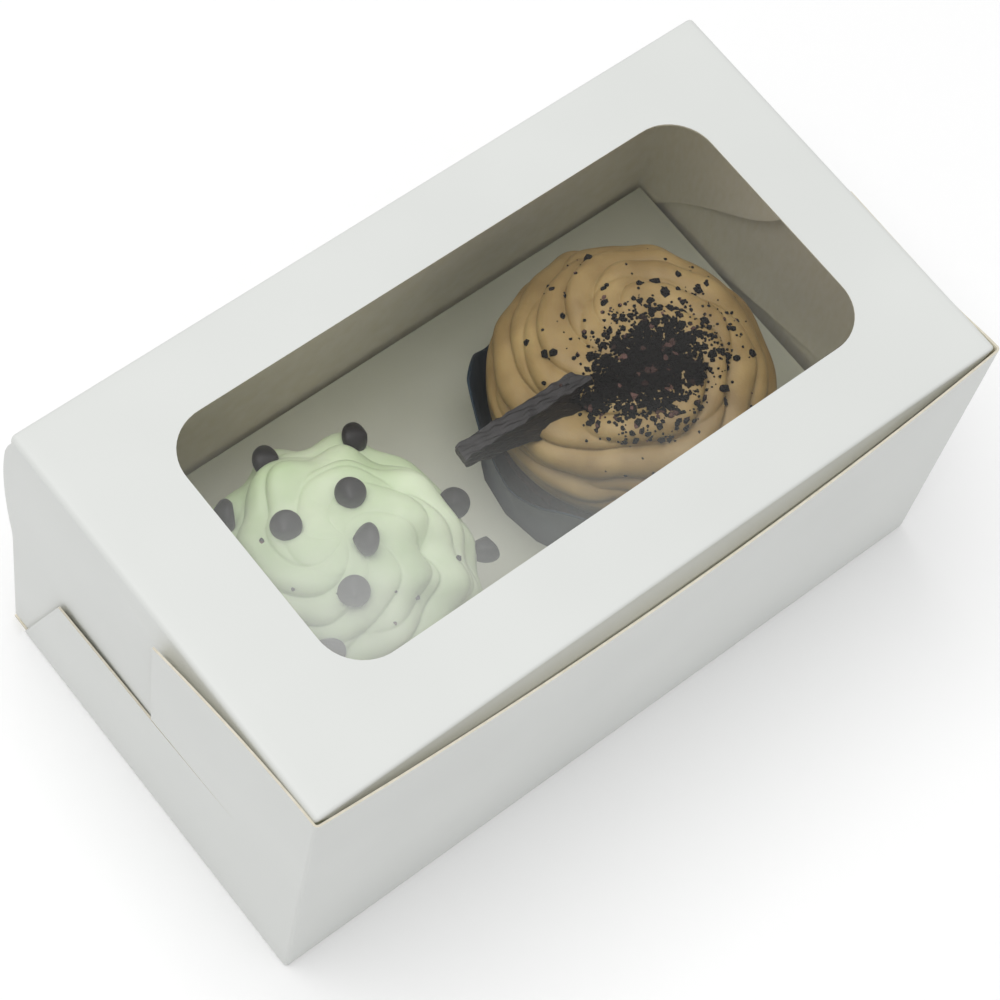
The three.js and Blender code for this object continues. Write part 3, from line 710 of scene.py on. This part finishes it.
def lid_rear():
    """The rear crease, where the lid turns down into the back wall."""
    x = np.linspace(-LID_HALF + END_CREASE, LID_HALF - END_CREASE, SIDE_COUNT + 1)
    past, below = crease_turn(np.pi / 2)
    y = BACK_Y - CREASE + past[:, None] + 0 * x
    return np.stack([x + 0 * y, y, HEIGHT - below[:, None] + 0 * x], -1)


def lid_corner(side, end_y, inward):
    """A rounded corner that closes the lid where a front or rear crease meets an end crease: an eighth of
    a sphere, drawn out along X and Z to meet the wider end crease."""
    round_angle = np.linspace(0, np.pi / 2, 6)[None, :]
    drop = np.linspace(0, np.pi / 2, 6)[:, None]
    deep = END_CREASE * np.cos(round_angle) ** 2 + CREASE * np.sin(round_angle) ** 2
    x = LID_HALF - END_CREASE + END_CREASE * np.sin(drop) * np.cos(round_angle)
    y = end_y + inward * CREASE * (1 - np.sin(drop) * np.sin(round_angle))
    z = HEIGHT - deep * (1 - np.cos(drop))
    return np.stack([side * x, y, z], -1)


def lid():
    """The lid as one sheet of board: windowed panel, creases, corners, tuck flap and end flaps."""
    corners = [(side, end) for side in (-1, 1) for end in ((LID_FRONT_Y, 1), (BACK_Y, -1))]
    grids = [(lid_panel(), True, 0), (lid_front(), False, 0), (lid_rear(), False, 0)]
    grids += [(lid_end(-1), False, 0), (lid_end(1), False, 0)]
    grids += [(lid_corner(side, *end), False, 0) for side, end in corners]
    made = piece("lid_sheet", grids, [COATED, UNCOATED, CUT_EDGE], (0, 0, HEIGHT / 2))
    thicken(made, SHEET)
    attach(made, "lid")
    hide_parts("lid")


def waves(x, y, seed, size_mm, count=7):
    """Soft random lumps: a sum of sine waves in random directions, about one in height."""
    draw = np.random.default_rng(seed)
    total = 0
    for k in range(count):
        angle, phase = draw.uniform(0, 2 * np.pi, 2)
        length = size_mm * draw.uniform(0.6, 1.6)
        total = total + np.sin((x * np.cos(angle) + y * np.sin(angle)) * 2 * np.pi / length + phase)
    return total / count ** 0.5


def beside_bar(x, y):
    """How deep the icing is pressed in beside the chocolate bar: a bell curve across the bar's front side
    that fades out past the bar's root and towards the icing's rim."""
    across = y - BAR_ROOT_Y + (x - BAR_ROOT_X) * np.tan(BAR_TURN)
    past_root = 1 + np.exp((x - BAR_ROOT_X - 3) / 1.5)
    near_rim = 1 + np.exp(-(x + 22.5) / 1.2)
    return np.exp(-((across + 4.6) / 3.0) ** 2) / past_root / near_rim


def icing_point(share, angle, radius, ridges=0.0, folds=0.0, seed=1, pressed=0.0):
    """A point of a piped icing, from its shoulder at share 0 to its tip at share 1.

    The dome's radius falls as a power of a cosine while its height rises as a sine. One groove winds
    from foot to tip where a rectified sine of share and angle dips. Ridges sweep up in spiral arms, each
    a rectified sine with a sharp groove beside it, and folds add soft random lumps.
    """
    slope = share * np.pi / 2
    rope = SWIRL_TURNS * share - angle / (2 * np.pi)
    wave = np.abs(np.sin(np.pi * rope)) ** 0.7
    fade = np.clip(share * 8, 0, 1) * np.clip((1 - share) * 3, 0, 1)
    bulge = SWIRL_DEPTH * (wave - 0.6) * fade
    reach = radius * np.cos(slope) ** ICING_ROUNDNESS
    plan_x = reach * np.cos(angle)
    plan_y = reach * np.sin(angle)
    wander = 0.25 * waves(plan_x, plan_y, seed + 3, 34)
    turn = np.pi * (ARM_TURNS * share + wander) - ARMS / 2 * angle
    teeth = ridges * (np.abs(np.sin(turn)) ** 0.5 - 0.75) * fade
    lumps = folds * waves(plan_x, plan_y, seed, 13) * fade
    extra = bulge + teeth + lumps - pressed * beside_bar(plan_x, plan_y)
    out = np.maximum(0.02, reach + extra * np.cos(slope * 0.8))
    rise = ICING_SHOULDER + (1 - ICING_SHOULDER) * np.sin(slope)
    height = ICING_FOOT_Z + ICING_HEIGHT * rise + extra * 0.7 * np.sin(slope)
    return np.stack([out * np.cos(angle), out * np.sin(angle), height], -1)


def icing(name, centre_x, radius, finish, piping):
    """A closed icing: a flat foot, a rounded underside, and the piped dome in rows up to its tip."""
    angle = np.linspace(0, 2 * np.pi, 288, endpoint=False)[None, :]
    share = (1 - (1 - np.linspace(0, 1, 130)) ** 1.15)[:, None]
    dome = icing_point(np.clip(share, 0, 0.998), angle, radius, *piping)
    shoulder = dome[0]
    turn = np.linspace(0, np.pi / 2, 9)[:-1][:, None]
    under_share = 1 - np.cos(turn)
    level = shoulder[:, 2]
    pull = (1 - ICING_FOOT_INSET / radius * (1 - np.sin(turn)))[..., None]
    under = shoulder[None] * np.array([1, 1, 0]) * pull
    under[..., 2] = ICING_FOOT_Z + 0.02 + (level - ICING_FOOT_Z) * under_share
    foot = under[0] * np.linspace(0.001, 1, 4)[:-1][:, None, None]
    foot[..., 2] = ICING_FOOT_Z + 0.02
    tip = dome[-1:] * np.array([0.0, 0.0, 1.0])
    whole = np.concatenate([foot, under, dome, tip])
    whole[..., 0] += centre_x
    made = piece(name, [(whole, True, 0)], [finish], (centre_x, 0, ICING_FOOT_Z + 6))
    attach(made, "carton")
    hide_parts(name)


def revolved(profile, steps):
    """A profile of radius and height turned round the Z axis, as rows up the profile."""
    angle = np.linspace(0, 2 * np.pi, steps, endpoint=False)[None, :]
    radius = profile[:, :1]
    x, y = radius * np.cos(angle), radius * np.sin(angle)
    return np.stack([x, y, profile[:, 1:] + 0 * angle], -1)


def chip_profile():
    """A chocolate drop's outline: a flat foot, then a radius that is a power of a sine up its height and
    is drawn in to a tip."""
    share = np.linspace(0, 1, 22)
    swell = np.sin(np.pi * np.clip(share * 1.06 + 0.2, 0, 1)) ** 0.75
    radius = CHIP_RADIUS * swell * (1 - share ** 3) ** 0.8
    radius[-1] = 0
    height = CHIP_HEIGHT * share ** 1.15
    foot = np.array([[0, 0], [radius[0] * 0.6, -0.02]])
    return np.concatenate([foot, np.stack([radius, height], -1)])


def chip_places():
    """Each drop's place as a turn and a spot: it stands on the icing's normal, leaned over towards the
    way that its tip points."""
    places = []
    for turn, share, lean, tip in CHIPS:
        angle = np.radians(turn)
        spot = icing_point(np.array(share), np.array(angle), MINT_RADIUS)
        above = icing_point(np.array(share + 0.02), np.array(angle), MINT_RADIUS)
        side = np.array([-np.sin(angle), np.cos(angle), 0])
        normal = np.cross(side, above - spot)
        normal = normal / np.linalg.norm(normal)
        way = np.array([np.cos(np.radians(tip)), np.sin(np.radians(tip)), 0])
        way = way - normal * way.dot(normal)
        way = way / np.linalg.norm(way)
        axis = normal * np.cos(np.radians(lean)) + way * np.sin(np.radians(lean))
        first = np.cross([0.3, 0.9, 0.2], axis)
        first = first / np.linalg.norm(first)
        spot = spot + normal * CHIP_RADIUS * CHIP_LIFT * np.sin(np.radians(lean))
        spot = spot - axis * CHIP_HEIGHT * CHIP_SINK + np.array([MINT_X, 0, 0])
        places.append((np.stack([first, np.cross(axis, first), axis]), spot))
    return places


def chocolate_chips():
    """The drops on the mint icing: the outline turned round, made uneven by soft lumps and set in place."""
    outline = revolved(chip_profile(), 32)
    for number, (turn, spot) in enumerate(chip_places(), start=1):
        lumps = 1 + 0.03 * waves(outline[..., 0] + number * 9, outline[..., 2], number, 5)[..., None]
        points = (outline * lumps) @ turn + spot
        name = f"chocolate_chip_{number:02d}"
        inside = np.array([0, 0, CHIP_HEIGHT * CHIP_SINK]) @ turn + spot
        made = piece(name + "_drop", [(points, True, 0)], [CHOCOLATE], inside)
        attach(made, "carton")
        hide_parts(name)


def petal(angle):
    """How far the pointed paper cup stands up: a row of rounded points round the cup, pressed lower
    towards the back right by a cosine of the angle."""
    lowered = 1 - LOWERED * np.maximum(0, np.cos(angle - LOW_SIDE))
    return lowered * (0.5 + 0.5 * np.cos(PETAL_COUNT * (angle - PETAL_TURN))) ** 0.8


def pointed_liner():
    """The black paper cup: rows up its outside, over its wavy rim and down its inside. Its radius grows
    with height, flares at the petals and is crossed by shallow folds between them."""
    angle = np.linspace(0, 2 * np.pi, 240, endpoint=False)[None, :]
    share = np.linspace(0, 1, 40)[:, None]
    rim = LINER_RIM_Z - PETAL_DIP + (PETAL_RISE + PETAL_DIP) * petal(angle)
    rim = rim + 0.35 * np.sin(11 * angle + 1)
    z = LINER_FOOT_Z + (rim - LINER_FOOT_Z) * share
    up = np.clip((z - LINER_FOOT_Z) / (LINER_RIM_Z - LINER_FOOT_Z), 0, 1)
    out = (MOCHA_RADIUS + LINER_SLACK - LINER_RIM_RADIUS) * share ** 3
    flare = PETAL_FLARE * petal(angle) * share ** 6
    crease = 0.3 * np.sin(PETAL_COUNT * 2 * angle + 3 * share)
    crease = crease * share * np.clip((z - 22) / 6, 0, 1)
    cone = LINER_FOOT_RADIUS + (LINER_RIM_RADIUS - LINER_FOOT_RADIUS) * up
    radius = cone + out + flare - np.abs(crease)
    outside = np.stack([radius * np.cos(angle), radius * np.sin(angle), z], -1)
    narrower = ((radius - PAPER) / radius)[..., None] * np.array([1, 1, 0]) + np.array([0, 0, 1])
    inner = (outside * narrower)[::-1].copy()
    inner[-1, :, 2] += PAPER
    foot = outside[:1] * np.array([0, 0, 1])
    floor = inner[-1:] * np.array([0, 0, 1])
    whole = np.concatenate([foot, outside, inner, floor])
    whole[..., 0] += MOCHA_X
    grids = [(whole, True, 0)]
    made = piece("pointed_paper_cup", grids, [black_paper()], (MOCHA_X, 0, 25))
    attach(made, "carton")
    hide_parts("mocha_liner")


def on_icing(x, y, radius, *piping):
    """The points of an icing above plan positions measured from its centre: the dome's radius, a power
    of a cosine, is solved for the share of the way up."""
    reach = np.clip(np.hypot(x, y), 0.05, radius * 0.99)
    share = np.arccos((reach / radius) ** (1 / ICING_ROUNDNESS)) * 2 / np.pi
    return icing_point(share, np.arctan2(y, x), radius, *piping)


def chocolate_bar():
    """A broken bar on edge: its section is a flat top, a front face that slants out, a foot and a back
    face. Soft random lumps roughen it, and rows drawn together close its two ends."""
    along = np.linspace(0, 1, 60)[:, None]
    deep = BAR_ROOT_HEIGHT + (BAR_END_HEIGHT - BAR_ROOT_HEIGHT) * along
    spread = BAR_SPREAD * (1 - along) ** 0.7
    side = np.linspace(0, 1, 13)[:-1][None, :]
    half = BAR_WIDTH / 2
    top = (half - BAR_WIDTH * side + 0 * along, 0 * side + 0 * along)
    front = (-half - spread * deep * side, -deep * side)
    foot = (-half - spread * deep + (BAR_WIDTH + spread * deep) * side, -deep + 0 * side)
    rear = (half + 0 * side * along, -deep * (1 - side))
    across = np.concatenate([top[0], front[0], foot[0], rear[0]], axis=1)
    level = np.concatenate([top[1], front[1], foot[1], rear[1]], axis=1)
    length = -BAR_LENGTH * along + 0 * across
    rough = 0.16 * waves(length + level * 2, across * 2 + level, 21, 2.4)
    local = np.stack([length, across + rough, level + 0.5 * rough], -1)
    heart = local.mean(1, keepdims=True)
    local = np.concatenate([heart[:1] + 0 * local[:1], local, heart[-1:] + 0 * local[-1:]])
    x = local[..., 0] * np.cos(BAR_TILT) - local[..., 2] * np.sin(BAR_TILT)
    z = local[..., 0] * np.sin(BAR_TILT) + local[..., 2] * np.cos(BAR_TILT)
    y = local[..., 1]
    turned_x = x * np.cos(BAR_TURN) + y * np.sin(BAR_TURN) + BAR_ROOT_X + MOCHA_X
    turned_y = -x * np.sin(BAR_TURN) + y * np.cos(BAR_TURN) + BAR_ROOT_Y
    top_z = ICING_FOOT_Z + ICING_HEIGHT - BAR_WIDTH / 2
    points = np.stack([turned_x, turned_y, z + top_z], -1)
    middle = tuple(points.mean((0, 1)))
    made = piece("broken_bar", [(points, True, 0)], [CHOCOLATE], middle, False)
    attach(made, "carton")
    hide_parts("chocolate_bar")


def stones(name, centre, size, draw):
    """Rough stones of twelve corners, an icosahedron's, with each corner drawn in or out at random."""
    golden = (1 + 5 ** 0.5) / 2
    base = np.array([(0, s, t * golden) for s in (-1, 1) for t in (-1, 1)], float)
    stone = np.concatenate([base, base[:, [2, 0, 1]], base[:, [1, 2, 0]]]) / np.hypot(1, golden)
    gap = np.linalg.norm(stone[:, None] - stone[None], axis=-1)
    near = (gap > 0.1) & (gap < 1.2)
    first, second, third = np.nonzero(near[:, :, None] & near[None] & near[:, None, :])
    ordered = (first < second) & (second < third)
    trios = np.stack([first, second, third], -1)[ordered]
    one, two, three = (stone[trios[:, k]] for k in range(3))
    inward = np.einsum("ij,ij->i", np.cross(two - one, three - one), one + two + three) < 0
    trios[inward] = trios[inward][:, ::-1]
    rough = draw.uniform(0.6, 1.25, (len(centre), 12, 1))
    points = centre[:, None] + stone * rough * size[:, None, None] * np.array([1, 1, 0.8])
    faces = (trios[None] + np.arange(len(centre))[:, None, None] * 12).reshape(-1, 3)
    mesh = bpy.data.meshes.new(name)
    mesh.from_pydata((points.reshape(-1, 3) * MM).tolist(), [], faces.tolist())
    made = bpy.data.objects.new(name, mesh)
    bpy.context.scene.collection.objects.link(made)
    mesh.materials.append(CRUMB)
    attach(made, "carton")
    return made


def crumbs():
    """Crumbs strewn over the mocha icing: most in one heap, a band beside the bar and the rest loose."""
    draw = np.random.default_rng(11)
    heap = draw.normal(size=(3200, 2)) * np.array([5.6, 4.6]) + np.array([-2.6, -5.2])
    band = np.stack([draw.uniform(-19, -7, 700), draw.normal(-3.6, 1.7, 700)], -1)
    loose = draw.normal(size=(260, 2)) * 11.5 + np.array([3, -2])
    spots = np.concatenate([heap, band, loose])
    spots = spots[np.hypot(spots[:, 0], spots[:, 1]) < MOCHA_RADIUS * 0.9]
    centre = on_icing(*spots.T, MOCHA_RADIUS, *MOCHA_PIPING) + np.array([MOCHA_X, 0, 0])
    size = np.minimum(0.16 + draw.gamma(1.6, 0.17, len(spots)), 1.1)
    made = stones("biscuit_crumbs", centre, size, draw)
    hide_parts("chocolate_crumbs")


def specks():
    """A few splinters of chocolate on the mint icing, beside its drops."""
    places = np.array(SPECKS)
    centre = on_icing(*places[:, :2].T, MINT_RADIUS, *MINT_PIPING) + np.array([MINT_X, 0, 0])
    stones("chocolate_specks", centre, places[:, 2], np.random.default_rng(3))


def carried_over():
    """Finishes of the pieces whose shape the frame already holds."""
    finishes = {
        "window_film": clear_film(),
        "insert_tray": tray_board(),
        "mint_liner": white_paper(),
        "mint_sponge": sponge_crumb("baked_vanilla_sponge", "#c79a55", "#e3c386"),
        "mocha_sponge": sponge_crumb("baked_chocolate_sponge", "#2a1a12", "#452d1f"),
    }
    for name, finish in finishes.items():
        own = bpy.data.objects[name]
        own.data.materials.clear()
        own.data.materials.append(finish)


def camera():
    """The photograph's viewpoint, from the three directions of its picture plane."""
    right = (0.77401, -0.62113, 0.12290)
    up = (0.51900, 0.73360, 0.43870)
    back = (-0.36265, -0.27576, 0.89019)
    place = (-0.21746, -0.16810, 0.57088)
    data = bpy.data.cameras.new("camera")
    data.sensor_width = 36
    data.lens = 111.65
    data.clip_start = 0.01
    made = bpy.data.objects.new("camera", data)
    columns = [(*right, 0), (*up, 0), (*back, 0), (*place, 1)]
    made.matrix_world = Matrix(columns).transposed()
    bpy.context.scene.collection.objects.link(made)
    bpy.context.scene.camera = made


def softbox(name, place, target, size, power):
    """A square area light at a place, turned towards a target."""
    data = bpy.data.lights.new(name, "AREA")
    data.shape = "SQUARE"
    data.size = size
    data.energy = power
    made = bpy.data.objects.new(name, data)
    away = np.array(place) - np.array(target)
    away = away / np.linalg.norm(away)
    across = np.cross([0.1, 1.0, 0.0], away)
    across = across / np.linalg.norm(across)
    up = np.cross(away, across)
    made.matrix_world = Matrix([(*across, 0), (*up, 0), (*away, 0), (*place, 1)]).transposed()
    bpy.context.scene.collection.objects.link(made)


def studio():
    """A white floor, an even white surround and three soft lights, the strongest overhead."""
    x, y = np.meshgrid(np.linspace(-2500, 2500, 9), np.linspace(-2500, 2500, 9))
    flat = [(np.stack([x, y, 0 * x - 0.05], -1), False, 0)]
    floor = piece("floor", flat, [studio_floor()], (0, 0, -100))
    world = bpy.data.worlds.new("studio")
    world.use_nodes = True
    surround = world.node_tree.nodes["Background"].inputs
    surround["Color"].default_value = (1, 1, 1, 1)
    surround["Strength"].default_value = 0.63
    bpy.context.scene.world = world
    bpy.context.scene.view_settings.view_transform = "Standard"
    softbox("overhead", (-0.25, 0.2, 1.5), (0, 0, 0.05), 1.2, 12.5)
    softbox("front_fill", (0.3, -1.4, 1.2), (0, 0, 0.05), 0.9, 0.8)
    softbox("left_fill", (-1.3, -0.3, 0.6), (0, 0, 0.05), 0.9, 0.1)


carton()
lid()
carried_over()
icing("mint_icing", MINT_X, MINT_RADIUS, mint_buttercream(), MINT_PIPING)
icing("mocha_icing", MOCHA_X, MOCHA_RADIUS, mocha_buttercream(), MOCHA_PIPING)
pointed_liner()
chocolate_chips()
chocolate_bar()
crumbs()
specks()
camera()
studio()
